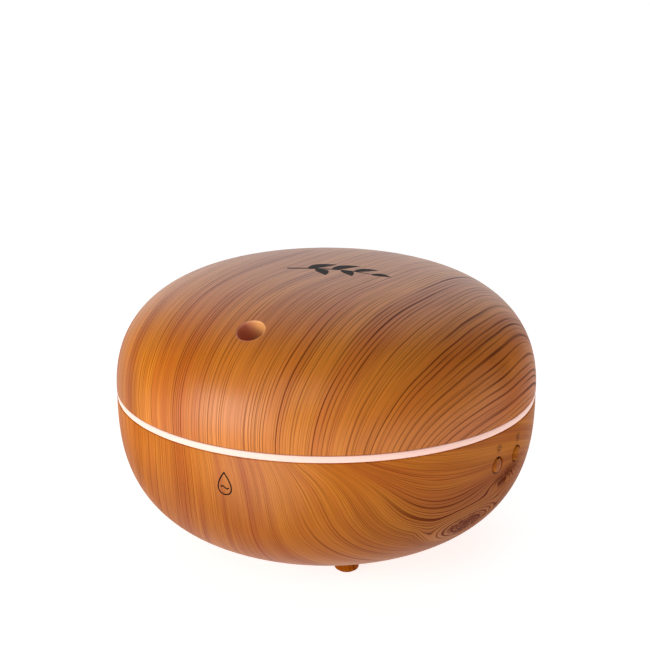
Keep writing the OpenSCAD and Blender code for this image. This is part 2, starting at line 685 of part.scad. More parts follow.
module wire_headers() color("white") at_board()
    for (h = [power_header, fan_header, disc_header, button_header, led_header])
    translate([h.x, h.y, board_top]) rotate([0, 0, h.z])
        translate([-header_d / 2, -header_w / 2, 0]) cube([header_d, header_w, header_h]);

// ---------- Power inlet ----------
module power_jack() color("black") difference() {
    union() {
        block(-jack_half, jack_half, jack_y - jack_l, jack_y - pocket_t, floor_z, jack_z + jack_half);
        translate([0, jack_y - pocket_t - 0.5, jack_z]) rotate([-90, 0, 0])
            cylinder(r = jack_r, h = pocket_t + 0.5);
    }
    translate([0, jack_y - jack_bore_l, jack_z]) rotate([-90, 0, 0])
        cylinder(d = jack_bore_d, h = jack_bore_l + 1);
    translate([0, jack_y - jack_bore_l - 2, jack_z]) rotate([-90, 0, 0])
        cylinder(d = jack_pin_d + 1.1, h = 3);
}

// The pin stands on a wider root, pressed into the end wall of the inlet.
module jack_pin() color("silver") translate([0, jack_y - jack_bore_l - 2, jack_z]) rotate([-90, 0, 0]) {
    cylinder(d = jack_pin_d + 1.1, h = 2);
    cylinder(d = jack_pin_d, h = jack_bore_l + 0.4);
    translate([0, 0, jack_bore_l + 0.4]) cylinder(d1 = jack_pin_d, d2 = jack_pin_d * 0.5, h = 0.6);
}

// ---------- Bottom cover ----------
module foot() rotate_extrude() polygon(concat(
    [[0, pad_proud]],
    [for (i = [0 : 6]) let (a = -90 + 15 * i)
        [foot_d / 2 - foot_round + foot_round * cos(a), pad_proud + foot_round + foot_round * sin(a)]],
    [[foot_d / 2, foot_h + 0.5], [0, foot_h + 0.5]]));

module bottom_cover() color("peru") difference() {
    union() {
        disc(opening_r - 0.2, foot_h, floor_z);
        at_feet() foot();
        // Posts under the fan and the main board
        translate([fan_x, 0, 0]) at_corners(fan_hole, fan_hole) disc(2.9, floor_z - 0.5, fan_z);
        at_board() at_corners(board_hole.x, board_hole.y) disc(2.6, floor_z - 0.5, board_z);
        // The pocket that the plug goes up into
        block(-pocket_w / 2 - pocket_t, pocket_w / 2 + pocket_t, jack_y - pocket_t, pocket_end,
            foot_h, pocket_top);
    }
    block(-pocket_w / 2, pocket_w / 2, jack_y, body_r, foot_h - 1, pocket_top - pocket_t);
    translate([0, jack_y - pocket_t - 1, jack_z]) rotate([-90, 0, 0])
        cylinder(r = jack_r + slip, h = pocket_t + 2);
    // Room for the cord's channel in the bowl
    block(-notch_w / 2 - 1.5 - fit, notch_w / 2 + 1.5 + fit, ledge_r - 1 - fit, body_r, foot_h - 1,
        floor_z + 1);
    // Air intake
    translate([fan_x, 0, 0]) intersection() {
        disc(fan_bore_r - 1, foot_h - 1, floor_z + 1);
        for (i = [-4 : 4]) block(i * 3.4 - 0.9, i * 3.4 + 0.9, -fan_w, fan_w, foot_h - 1, floor_z + 1);
    }
    translate([fan_x, 0, 0]) at_corners(fan_hole, fan_hole) disc(1.25 + slip, floor_z - 1, fan_z + 1);
    at_board() at_corners(board_hole.x, board_hole.y) disc(1.1 + slip, floor_z, board_z + 1);
    at_feet() {
        disc(pad_r + slip, pad_proud - 1, pad_t);
        disc(2.8, pad_t - 0.5, head_seat);
        disc(1.7, head_seat - 1, floor_z + 1);
    }
}

module foot_pads() color("gray") at_feet() disc(pad_r, 0, pad_t);

module bottom_screws() color("silver") at_feet() translate([0, 0, head_seat]) mirror([0, 0, 1])
    screw(2.6, 2, 1.45, floor_z - head_seat + 11);

// ---------- Leads ----------
// Where a header's wires leave it.
function header_mouth(h) = [
    board_x + h.x + cos(h.z) * header_d / 2, h.y + sin(h.z) * header_d / 2, board_top + header_h / 2];

module power_lead() color("red") {
    a = [0, jack_y - jack_l, jack_z + 1];
    b = header_mouth(power_header);
    wire_pair([a, a + [0, -6, 0], b + [-7, 0, 0], b], [0, 0, 1]);
}
module fan_lead() color("gold") {
    a = [fan_x + fan_w / 2, -9, fan_z + 3];
    b = header_mouth(fan_header);
    wire_pair([a, a + [4, 0, 0], b + [-5, 0, 0], b], [0, 0, 1]);
}
module disc_lead() color("orange") {
    a = [(disc_bore_r - 1.5) * 0.385, -disc_y, sump_z + (seal_h - disc_t) / 2];
    b = header_mouth(disc_header);
    wire_pair([a, a + [0, 0, -8], b + [0, -8, 0], b], [1, 0, 0]);
}
module led_lead() color("skyblue") {
    out = [sin(led_lead_az), -cos(led_lead_az), 0];
    a = led_lead_r * out + [0, 0, led_z];
    b = header_mouth(led_header);
    wire_pair([a, led_lead_r * out + [0, 0, floor_z + 2.3], b + [0, 20, 0], b], [1, 0, 0]);
}
module button_lead() color("lightgreen") {
    out = [sin(button_az), -cos(button_az), 0];
    r = board_out - button_board_t / 2;
    a = r * out + [0, 0, button_z - button_board_h / 2];
    b = header_mouth(button_header);
    wire_pair([a, r * out + [0, 0, floor_z - 6], b + [0, -22, 0], b], [1, 0, -1]);
}

top_cover();
mist_guide();
guide_seal();
guide_screws();
light_ring();
lower_shell();
water_tank();
tank_seal();
air_cap();
disc_seal();
ceramic_disc();
disc_clamp();
clamp_screws();
fan_hood();
fan_frame();
fan_stator();
fan_rotor();
fan_screws();
led_board();
led_chips();
led_board_screws();
light_button();
mist_button();
light_switch_stem();
mist_switch_stem();
button_board();
switch_bodies();
button_board_screws();
main_board();
capacitors();
inductors();
power_transistor();
heat_sink();
control_chips();
wire_headers();
board_screws();
power_jack();
jack_pin();
power_lead();
fan_lead();
disc_lead();
led_lead();
button_lead();
bottom_cover();
foot_pads();
bottom_screws();
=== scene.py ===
"""Looks of the pebble-shaped aroma diffuser: printed wood grain, lit ring, small marks, studio light."""
import math

import bmesh
import bpy
from mathutils import Matrix, Vector


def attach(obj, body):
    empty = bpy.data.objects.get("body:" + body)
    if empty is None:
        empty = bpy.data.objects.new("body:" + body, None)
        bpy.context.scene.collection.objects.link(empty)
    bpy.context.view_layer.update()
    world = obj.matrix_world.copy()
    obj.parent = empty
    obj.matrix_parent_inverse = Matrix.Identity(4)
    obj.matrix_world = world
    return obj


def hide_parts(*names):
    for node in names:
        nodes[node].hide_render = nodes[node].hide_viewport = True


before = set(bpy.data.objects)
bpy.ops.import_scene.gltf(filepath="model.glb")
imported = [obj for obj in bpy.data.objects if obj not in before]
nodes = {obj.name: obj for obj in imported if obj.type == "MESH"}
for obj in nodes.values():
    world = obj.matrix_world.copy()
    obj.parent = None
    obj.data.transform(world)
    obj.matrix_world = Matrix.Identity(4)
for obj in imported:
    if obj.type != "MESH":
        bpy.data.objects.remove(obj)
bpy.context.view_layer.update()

# Sizes of the CAD model, in millimetres
BODY_R = 84.0
COVER_H, COVER_NR, COVER_NZ, COVER_T = 47.0, 3.09, 2.33, 2.6
BOWL_H, BOWL_TIP, BOWL_NR, BOWL_NZ, SHELL_T = 55.7, 60.6, 3.02, 2.68, 2.4
FOOT_H, STRIP_H, SEAM = 6.5, 2.5, 0.1
BOWL_Z = FOOT_H + BOWL_H
COVER_Z = BOWL_Z + STRIP_H
RING_Z = BOWL_Z + STRIP_H / 2
SKIN = 0.05          # how far the new skins stay inside the CAD ones, so that prints on them fit
MM = 0.001


# ---------------------------------------------------------------- node helpers
class Tree:
    """A small writer of shader nodes: values are sockets or numbers, and + - * / build Math nodes."""

    def __init__(self, tree):
        self.tree = tree

    def node(self, kind, inputs=(), **settings):
        n = self.tree.nodes.new(kind)
        for k, v in settings.items():
            setattr(n, k, v)
        for k, v in dict(inputs).items():
            self.put(n.inputs[k], v)
        return n

    def put(self, socket, v):
        if isinstance(v, Num):
            v = v.s
        if isinstance(v, bpy.types.NodeSocket):
            self.tree.links.new(v, socket)
        else:
            socket.default_value = v

    def math(self, op, *args, clamp=False):
        n = self.node("ShaderNodeMath", operation=op, use_clamp=clamp)
        for i, a in enumerate(args):
            self.put(n.inputs[i], a)
        return Num(self, n.outputs[0])

    def dot(self, v, d):
        n = self.node("ShaderNodeVectorMath", operation="DOT_PRODUCT")
        self.put(n.inputs[0], v)
        n.inputs[1].default_value = d
        return Num(self, n.outputs["Value"])

    def vmath(self, op, *args):
        n = self.node("ShaderNodeVectorMath", operation=op)
        for i, a in enumerate(args):
            self.put(n.inputs[i], a)
        return n.outputs[0]

    def noise(self, vector, scale=1.0, detail=2.0, rough=0.5, w=None):
        n = self.node("ShaderNodeTexNoise", noise_dimensions="4D" if w is not None else "3D")
        self.put(n.inputs["Vector"], vector)
        for k, v in (("Scale", scale), ("Detail", detail), ("Roughness", rough)):
            n.inputs[k].default_value = v
        if w is not None:
            self.put(n.inputs["W"], w)
        return Num(self, n.outputs["Fac"])

    def step(self, v, lo, hi, a=0.0, b=1.0):
        n = self.node("ShaderNodeMapRange", interpolation_type="SMOOTHSTEP")
        self.put(n.inputs["Value"], v)
        for k, x in (("From Min", lo), ("From Max", hi), ("To Min", a), ("To Max", b)):
            n.inputs[k].default_value = x
        return Num(self, n.outputs["Result"])

    def mix(self, fac, a, b, kind="MIX"):
        n = self.node("ShaderNodeMix", data_type="RGBA", blend_type=kind)
        self.put(n.inputs["Factor"], fac)
        self.put(n.inputs["A"], a if isinstance(a, bpy.types.NodeSocket) else (*a, 1.0))
        self.put(n.inputs["B"], b if isinstance(b, bpy.types.NodeSocket) else (*b, 1.0))
        return n.outputs["Result"]


class Num:
    def __init__(self, t, s):
        self.t, self.s = t, s

    def __add__(self, o):
        return self.t.math("ADD", self, o)

    def __radd__(self, o):
        return self.t.math("ADD", o, self)

    def __sub__(self, o):
        return self.t.math("SUBTRACT", self, o)

    def __rsub__(self, o):
        return self.t.math("SUBTRACT", o, self)

    def __mul__(self, o):
        return self.t.math("MULTIPLY", self, o)

    def __rmul__(self, o):
        return self.t.math("MULTIPLY", o, self)

    def __truediv__(self, o):
        return self.t.math("DIVIDE", self, o)

    def clamp(self):
        return self.t.math("ADD", self, 0.0, clamp=True)


def srgb(r, g, b):
    return tuple((c / 255 / 12.92 if c <= 10 else ((c / 255 + 0.055) / 1.055) ** 2.4) for c in (r, g, b))


def new_material(name):
    m = bpy.data.materials.new(name)
    m.use_nodes = True
    m.node_tree.nodes.clear()
    t = Tree(m.node_tree)
    out = t.node("ShaderNodeOutputMaterial")
    p = t.node("ShaderNodeBsdfPrincipled")
    t.tree.links.new(p.outputs[0], out.inputs["Surface"])
    where = t.node("ShaderNodeTexCoord").outputs["Object"]
    pos = t.vmath("SCALE", where)
    pos.node.inputs["Scale"].default_value = 1000.0      # millimetres in the row frame
    return m, t, p, pos


# ---------------------------------------------------------------- wood
def ellipse(t, p, centre, long_way, long_r, short_way, short_r):
    """Distance from a knot's centre, 1 on its outline, longer one way than the other."""
    rel = t.vmath("SUBTRACT", p, centre)
    a = t.dot(rel, tuple(v / long_r for v in long_way))
    b = t.dot(rel, tuple(v / short_r for v in short_way))
    c = t.dot(rel, tuple(v / 30.0 for v in Vector(long_way).cross(Vector(short_way)).normalized()))
    return t.math("SQRT", a * a + b * b + c * c)


def growth(t, p, part):
    """The growth field F, in millimetres across the grain, how dark the knots are, and what is near them."""
    warp = t.noise(p, scale=0.016, detail=0.0) - 0.5
    warp2 = t.noise(t.vmath("ADD", p, (37.0, 11.0, 5.0)), scale=0.05, detail=0.0) - 0.5
    if part == "cover":
        s = 88.0 + t.dot(p, (-0.97, 0.155, -0.185))
        q = t.dot(p, (-3.9, -0.8, 19.6))
        F = t.math("SQRT", t.math("MAXIMUM", s * s + q + 500.0, 1.0))
        F = F + warp * 5.0 + warp2 * 0.5
        r = ellipse(t, p, (77.8, -14.0, 22.5), (0.2, 0.6, 0.78), 9.0, (0.1, -0.8, 0.6), 5.0)
        return F, t.step(r, 1.6, 0.2) * 0.12, t.step(r, 2.6, 0.8) * 0.6
    s = t.dot(p, (0.197, -0.362, -0.911)) - 40.8
    q = t.dot(p, (0.296, -0.864, 0.407))
    F = t.dot(p, (-0.935, -0.349, -0.063)) - 0.05 * s * s + 0.00085 * s * q
    F = F - 0.0115 * q * q + 0.001 * s * s * s
    F = F * 0.82
    F = F + t.math("MINIMUM", F + 56.0, 0.0) * 1.6
    side = t.dot(p, (0.900, 0.435, 0.0))                 # on the left the grain runs straight down
    left = t.step(side, -8.0, -62.0)
    F = F * (1.0 - left) + (side * -1.25 - 12.0) * left + warp * 3.0 + warp2 * 0.6
    small = ellipse(t, p, (82.0, -12.0, -20.0), (0.14, 0.97, 0.18), 9.0, (0.20, -0.20, 0.96), 2.8)
    F = F + t.step(small, 2.2, 0.0) * 4.5
    knot = ellipse(t, p, (71.6, -27.5, -37.0), (0.356, 0.93, -0.10), 19.0, (0.345, -0.13, 0.93), 9.0)
    rag = (t.noise(p, scale=0.28, detail=2.0) - 0.5) * 0.25
    w = t.step(knot + rag * 0.3, 1.45, 0.80)
    F = F * (1.0 - w) + (-63.5 - knot * 7.5) * w
    mottle = t.step(t.noise(p, scale=0.9, detail=2.0, rough=0.6), 0.36, 0.60, 0.35, 1.0)
    core = (t.step(knot + rag * 2.4, 0.72, 0.25) * 0.80 + t.step(small + rag * 1.6, 1.5, 0.2) * 0.80) * mottle
    core = core + t.step(knot + rag, 3.3, 1.0) * 0.22
    near = t.math("MAXIMUM", t.step(knot, 1.9, 0.9), t.step(small, 2.6, 0.8))
    return F, core, near


def wood_colour(t, pos, part):
    """Colour and darkness of the printed grain: growth lines in groups, each line fading in and out."""
    p = t.vmath("SUBTRACT", pos, (0.0, 0.0, RING_Z))
    F, core, near = growth(t, p, part)

    def along(scale):
        v = t.vmath("SCALE", p)
        v.node.inputs["Scale"].default_value = scale
        return v
    long, mid, short = along(0.006), along(0.02), along(0.09)
    group = t.step(t.noise(long, detail=1.0, w=F * 0.17), 0.42, 0.66)
    phase = F / 1.18 + t.noise(long, detail=0.0, w=F * 0.42) * 2.0
    line = t.math("FLOOR", phase)
    v = t.math("FRACT", phase)
    off = t.math("ABSOLUTE", v - 0.5)
    fade = t.step(t.noise(mid, detail=1.0, w=line * 0.731), 0.36, 0.60, 0.15, 1.0)
    fade = t.math("MAXIMUM", fade, near * 0.8)
    dark_line = t.step(off, 0.20, 0.04) * fade * (t.math("MAXIMUM", group, near) * 0.40 + 0.60)
    phase2 = F / 0.57 + t.noise(long, detail=0.0, w=F * 0.6) * 2.0
    off2 = t.math("ABSOLUTE", t.math("FRACT", phase2) - 0.5)
    fade2 = t.step(t.noise(mid, detail=1.0, w=t.math("FLOOR", phase2) * 0.617), 0.42, 0.66)
    thin_line = t.step(off2, 0.30, 0.08) * fade2 * 0.38
    fibre = t.noise(short, detail=2.0, rough=0.6, w=F * 2.6) - 0.5
    dark = (dark_line * 0.9 + thin_line + core).clamp()
    tone = t.step(t.noise(mid, detail=1.0, w=F * 0.06), 0.32, 0.68)
    base = t.mix(tone, WOOD_LIGHT, WOOD_MID)
    base = t.mix(group * 0.50, base, WOOD_RED)
    base = t.mix((fibre * 0.9 + 0.08).clamp(), base, WOOD_FIBRE)
    # painted light and shade: the film is painted paler just under the strip, and painted darker towards the
    # base and at the cover's left end
    z = t.dot(p, (0.0, 0.0, 1.0))
    if part == "bowl":
        # the bowl's own tint, with painted light making it paler towards the strip
        shade = t.mix(t.step(z, -24.0, -3.0), (0.70, 0.68, 0.50), (0.88, 0.86, 0.56))
        base = t.mix(1.0, base, shade, "MULTIPLY")
        # painted shade: darker towards the base
        base = t.mix(t.step(z, -16.0, -44.0), base, t.mix(1.0, base, (0.84, 0.82, 0.45), "MULTIPLY"))
    else:
        # painted shade: darker at the cover's left end, low down
        end = t.step(t.dot(p, (0.9003, 0.4352, 0.0)), -64.0, -75.0) * t.step(z, 30.0, 10.0)
        base = t.mix(end, base, t.mix(1.0, base, (0.76, 0.72, 0.55), "MULTIPLY"))
        # painted shade: a dark line on the cover's rim along the seam over the strip, where shadow falls
        # between the parts
        base = t.mix(t.step(z, 2.0, 1.45) * 0.55, base, WOOD_LINE)       # the seam over the strip
    return t.mix(dark, base, WOOD_LINE), dark, fibre


WOOD_LIGHT = srgb(224, 134, 38)
WOOD_MID = srgb(208, 116, 28)
WOOD_RED = srgb(188, 86, 24)
WOOD_FIBRE = srgb(160, 76, 18)
WOOD_LINE = srgb(96, 34, 4)
FRONT = Vector((math.sin(math.radians(25.8)), -math.cos(math.radians(25.8)), 0))


def wood_material(name, part, gloss):
    m, t, p, pos = new_material(name)
    col, dark, fibre = wood_colour(t, pos, part)
    if part == "cover":
        # the bore's wall is unprinted; painted shade makes it reddish brown on its left, and painted light
        # makes it lighter on its right
        rel = t.vmath("SUBTRACT", pos, (0.0, -OUTLET_R, COVER_Z + OUTLET_H))
        x, y = t.dot(rel, (1.0, 0.0, 0.0)), t.dot(rel, (0.0, OUTLET_N.y, OUTLET_N.x))
        wall = t.step(t.math("SQRT", x * x + y * y), 5.75, 5.05)
        unprinted_wall_and_painted_shade = t.mix(t.step(x + y * 0.5 + fibre * 1.5, -3.2, 3.6), srgb(214, 132, 106), srgb(252, 182, 112))
        col = t.mix(wall, col, unprinted_wall_and_painted_shade)
    else:
        # painted shade: a dark ring in the gap round each button, where shadow falls
        a = math.radians(BUTTON_AZ)
        u = t.math("ABSOLUTE", t.dot(pos, (math.cos(a), math.sin(a), 0.0))) - BUTTON_PITCH / 2
        v = t.dot(pos, (0.0, 0.0, 1.0)) - BUTTON_Z
        d = t.math("SQRT", u * u + v * v)
        this_side = t.step(t.dot(pos, (math.sin(a), -math.cos(a), 0.0)), 0.0, 10.0)
        gap = t.step(d, HOLE_R + 0.40, HOLE_R + 0.05) * t.step(d, BUTTON_R - 0.06, BUTTON_R + 0.10)
        col = t.mix(gap * this_side * 0.85, col, WOOD_LINE)
    t.put(p.inputs["Base Color"], col)
    t.put(p.inputs["Roughness"], 0.36 + dark * 0.08 + fibre * 0.06)
    # the lacquer is thickest over the top and the front
    front = t.step(t.dot(pos, tuple(FRONT)), 44.0, 70.0)
    top = t.step(t.dot(pos, (0.0, 0.0, 1.0)), RING_Z + 22.0, RING_Z + 36.0)
    lacquer = (t.math("MAXIMUM", front, top) * 0.88 + 0.12) * gloss
    if part == "bowl":
        rel = t.vmath("SUBTRACT", pos, (13.0, -83.0, RING_Z - 4.0))
        away = t.node("ShaderNodeVectorMath", operation="LENGTH", inputs={0: rel})
        lacquer = lacquer + t.step(Num(t, away.outputs["Value"]), 30.0, 4.0) * 0.55
    t.put(p.inputs["Specular IOR Level"], lacquer * (1.0 - dark * 0.85))
    grain = t.noise(pos, scale=1.2, detail=2.0)
    height = (1.0 - dark) * 0.7 + grain * 0.3
    b = t.node("ShaderNodeBump", inputs={"Strength": 0.10, "Distance": 0.00005, "Height": height})
    t.put(p.inputs["Normal"], b.outputs[0])
    return m


# ---------------------------------------------------------------- plain materials, each with its own grain
def plastic(name, colour, rough=0.4, fine=6.0, relief=0.15, vary=0.06, spec=0.5, sss=0.0):
    m, t, p, pos = new_material(name)
    n = t.noise(pos, scale=0.12, detail=3.0)
    g = t.noise(pos, scale=fine, detail=2.0)
    lo = tuple(c * (1 - vary) for c in colour)
    hi = tuple(min(1.0, c * (1 + vary)) for c in colour)
    t.put(p.inputs["Base Color"], t.mix(t.step(n, 0.3, 0.7), lo, hi))
    t.put(p.inputs["Roughness"], rough + (g - 0.5) * 0.12)
    p.inputs["Specular IOR Level"].default_value = spec
    if sss:
        p.inputs["Subsurface Weight"].default_value = sss
        p.inputs["Subsurface Scale"].default_value = 0.002
    b = t.node("ShaderNodeBump", inputs={"Strength": relief, "Distance": 0.00005, "Height": g})
    t.put(p.inputs["Normal"], b.outputs[0])
    return m


def metal(name, colour, rough=0.3, way=(1.0, 0.05, 0.05), relief=0.08):
    m, t, p, pos = new_material(name)
    st = t.vmath("MULTIPLY", pos, way)
    n = t.noise(st, scale=6.0, detail=3.0, rough=0.6)
    t.put(p.inputs["Base Color"], t.mix(n, tuple(c * 0.82 for c in colour), colour))
    t.put(p.inputs["Roughness"], rough + (n - 0.5) * 0.2)
    p.inputs["Metallic"].default_value = 1.0
    b = t.node("ShaderNodeBump", inputs={"Strength": relief, "Distance": 0.00003, "Height": n})
    t.put(p.inputs["Normal"], b.outputs[0])
    return m


def circuit_board(name):
    """Green solder mask over copper tracks that show as slightly raised, lighter lines, with tinned pads."""
    m, t, p, pos = new_material(name)
    brick = t.node("ShaderNodeTexBrick", offset=0.35, squash=0.7, squash_frequency=3,
                   inputs={"Vector": pos, "Scale": 0.55, "Mortar Size": 0.09, "Mortar Smooth": 0.1,
                           "Brick Width": 2.6, "Row Height": 0.8})
    track = Num(t, brick.outputs["Fac"])
    dots = t.node("ShaderNodeTexVoronoi", feature="F1",
                  inputs={"Vector": pos, "Scale": 0.33, "Randomness": 0.35})
    pad = t.step(Num(t, dots.outputs["Distance"]), 0.16, 0.13)
    col = t.mix(track * 0.8, (0.012, 0.10, 0.045), (0.03, 0.20, 0.09))
    col = t.mix(pad, col, (0.55, 0.56, 0.55))
    t.put(p.inputs["Base Color"], col)
    t.put(p.inputs["Metallic"], pad)
    t.put(p.inputs["Roughness"], 0.35 + t.noise(pos, scale=1.5) * 0.12)
    b = t.node("ShaderNodeBump", inputs={"Strength": 0.4, "Distance": 0.00008, "Height": track + pad})
    t.put(p.inputs["Normal"], b.outputs[0])
    return m


def winding(name, colour):
    """Fine turns of enamelled wire round a vertical core."""
    m, t, p, pos = new_material(name)
    z = t.dot(pos, (0.0, 0.0, 1.0))
    turns = t.math("SINE", z * 14.0) * 0.5 + 0.5
    t.put(p.inputs["Base Color"], t.mix(turns, tuple(c * 0.35 for c in colour), colour))
    p.inputs["Metallic"].default_value = 0.8
    t.put(p.inputs["Roughness"], 0.28 + t.noise(pos, scale=3.0) * 0.15)
    b = t.node("ShaderNodeBump", inputs={"Strength": 0.6, "Distance": 0.0002, "Height": turns})
    t.put(p.inputs["Normal"], b.outputs[0])
    return m


def glow_material():
    """Frosted ring lit from behind: whiter at the left, warmer towards the right, a little uneven."""
    m, t, p, pos = new_material("glow_ring_lit")
    side = t.step(t.dot(pos, (0.0107, 0.0052, 0.0)), -0.9, 0.9)
    n = t.noise(pos, scale=0.05, detail=2.0)
    col = t.mix((side + (n - 0.5) * 0.25).clamp(), srgb(234, 200, 186), srgb(249, 205, 191))
    t.put(p.inputs["Base Color"], col)
    t.put(p.inputs["Emission Color"], col)
    p.inputs["Emission Strength"].default_value = 0.24
    t.put(p.inputs["Roughness"], 0.42 + n * 0.1)
    return m


# ---------------------------------------------------------------- shapes
def profile(a, h, nr, nz, t):
    return a * math.cos(t) ** (2 / nr), h * math.sin(t) ** (2 / nz)


def normal(a, h, nr, nz, r, z):
    g = Vector((nr / a * (r / a) ** (nr - 1), nz / h * (max(z, 0.0) / h) ** (nz - 1)))
    return g.normalized()


def outline(a, h, nr, nz, inset, steps, t_end=math.pi / 2):
    pts = []
    for i in range(steps + 1):
        t = t_end * (1 - (1 - i / steps) ** 1.5)
        t = min(t, math.pi / 2)
        r, z = profile(a, h, nr, nz, t) if t < math.pi / 2 - 1e-9 else (0.0, h)
        n = normal(a, h, nr, nz, r, z)
        pts.append((max(r - inset * n.x, 0.0), z - inset * n.y))
    return pts


def lathe(name, pts, segs, closed=True):
    """A solid of revolution from (r, z) points in millimetres; points at r = 0 become poles."""
    bm = bmesh.new()
    rings = []
    for r, z in pts:
        if r < 1e-4:
            rings.append([bm.verts.new((0, 0, z * MM))])
        else:
            turns = [2 * math.pi * k / segs for k in range(segs)]
            rings.append([bm.verts.new((r * MM * math.cos(a), r * MM * math.sin(a), z * MM)) for a in turns])
    pairs = list(zip(rings, rings[1:])) + ([(rings[-1], rings[0])] if closed else [])
    for a, b in pairs:
        for k in range(segs):
            k2 = (k + 1) % segs
            if len(a) == 1 and len(b) == 1:
                continue
            if len(a) == 1:
                bm.faces.new((a[0], b[k], b[k2]))
            elif len(b) == 1:
                bm.faces.new((a[k], b[0], a[k2]))
            else:
                bm.faces.new((a[k], b[k], b[k2], a[k2]))
    bmesh.ops.recalc_face_normals(bm, faces=bm.faces)
    me = bpy.data.meshes.new(name)
    bm.to_mesh(me)
    bm.free()
    ob = bpy.data.objects.new(name, me)
    bpy.context.scene.collection.objects.link(ob)
    return ob


def place(ob, matrix):
    ob.data.transform(matrix)
    return ob


def cut(ob, cutter, op="DIFFERENCE"):
    mod = ob.modifiers.new("cut", "BOOLEAN")
    mod.operation = op
    mod.solver = "EXACT"
    mod.object = cutter
    bpy.context.view_layer.update()
    me = bpy.data.meshes.new_from_object(ob.evaluated_get(bpy.context.evaluated_depsgraph_get()))
    old = ob.data
    ob.modifiers.clear()
    ob.data = me
    me.name = old.name
    bpy.data.meshes.remove(old)
    bpy.data.objects.remove(cutter)
    return ob


def smooth(ob, angle=30):
    ob.data.polygons.foreach_set("use_smooth", [True] * len(ob.data.polygons))
    ob.data.set_sharp_from_angle(angle=math.radians(angle))


def box_mesh(name, lo, hi):
    bm = bmesh.new()
    bmesh.ops.create_cube(bm, size=1.0)
    for v in bm.verts:
        v.co = Vector([(lo[i] + (v.co[i] + 0.5) * (hi[i] - lo[i])) * MM for i in range(3)])
    me = bpy.data.meshes.new(name)
    bm.to_mesh(me)
    bm.free()
    ob = bpy.data.objects.new(name, me)
    bpy.context.scene.collection.objects.link(ob)
    return ob


def azimuth(az):
    """Turns +X towards the azimuth az, counted from the front towards +X."""
    return Matrix.Rotation(math.radians(az - 90), 4, "Z")


OUTLET_R = 62.4
OUTLET_H = COVER_H * (1 - (OUTLET_R / BODY_R) ** COVER_NR) ** (1 / COVER_NZ)
OUTLET_N = normal(BODY_R, COVER_H, COVER_NR, COVER_NZ, OUTLET_R, OUTLET_H)
OUTLET = (Matrix.Translation((0, -OUTLET_R * MM, (COVER_Z + OUTLET_H) * MM))
          @ Matrix.Rotation(math.atan2(OUTLET_N.x, OUTLET_N.y), 4, "X"))


def make_cover():
    base = COVER_Z + SEAM
    out = [(r, COVER_Z + z) for r, z in outline(BODY_R - SKIN, COVER_H - SKIN, COVER_NR, COVER_NZ, 0.0, 90)]
    inn = [(r, COVER_Z + z) for r, z in outline(BODY_R, COVER_H, COVER_NR, COVER_NZ, COVER_T, 60)]
    rim = 0.5
    arc = [(BODY_R - SKIN - rim + rim * math.cos(a), base + rim + rim * math.sin(a))
           for a in [math.radians(x) for x in (-90, -67, -45, -22)]]
    pts = arc + [p for p in out if p[1] > base + rim] + [p for p in reversed(inn) if p[1] > base + 0.2]
    pts.append((BODY_R - COVER_T, base))
    ob = lathe("cover_shell", pts, 256)
    # the spout inside, then the bore with its softly rounded lip
    spout = place(lathe("spout", [(0, -13), (7.2, -13), (7.2, -1.3), (0, -1.3)], 96), OUTLET)
    cut(ob, spout, "UNION")
    lip = [(5.0, -15.0)] + [(5.0 + 0.75 * (1 - math.cos(a)), -0.85 + 0.75 * math.sin(a))
                           for a in [math.radians(x) for x in range(0, 91, 10)]]
    lip = [(0, -15.0)] + lip + [(7.5, 0.3), (7.5, 4.0), (0, 4.0)]
    cut(ob, place(lathe("bore", lip, 96), OUTLET))
    smooth(ob, 28)
    return ob


def make_ring():
    r = BODY_R - SKIN - 0.25
    under = [(72.3, BOWL_Z), (79.1, BOWL_Z), (79.1, BOWL_Z - 2.5), (81.1, BOWL_Z - 2.5), (81.1, BOWL_Z)]
    band = [(r - 0.3, BOWL_Z), (r - 0.08, BOWL_Z + 0.1), (r, BOWL_Z + 0.35), (r + 0.12, RING_Z),
            (r, COVER_Z - 0.35), (r - 0.08, COVER_Z - 0.1), (r - 0.3, COVER_Z)]
    over = [(80.9, COVER_Z), (80.9, COVER_Z + 4.2), (78.9, COVER_Z + 4.2), (78.9, COVER_Z), (72.3, COVER_Z)]
    ob = lathe("light_strip", under + band + over, 256)
    cut(ob, box_mesh("notch", (-1.8, -85, COVER_Z), (1.8, -78.4, COVER_Z + 6)))
    smooth(ob, 40)
    return ob


BUTTON_AZ, BUTTON_PITCH, BUTTON_Z = 80.5, 14.6, BOWL_Z - 12.8
BUTTON_R, HOLE_R, FLANGE_R = 2.9, 3.2, 3.9


def bowl_radius(z):
    return BODY_R * (1 - ((BOWL_Z - z) / BOWL_TIP) ** BOWL_NZ) ** (1 / BOWL_NR)


BUTTON_FACE = bowl_radius(BUTTON_Z) - (BODY_R - math.sqrt(BODY_R ** 2 - (BUTTON_PITCH / 2) ** 2))


def at_button(side):
    """The place of a button, with its axis as local Z, and its distance from the middle along it."""
    return (azimuth(BUTTON_AZ) @ Matrix.Translation((0, side * BUTTON_PITCH / 2 * MM, BUTTON_Z * MM))
            @ Matrix.Rotation(math.pi / 2, 4, "Y"))


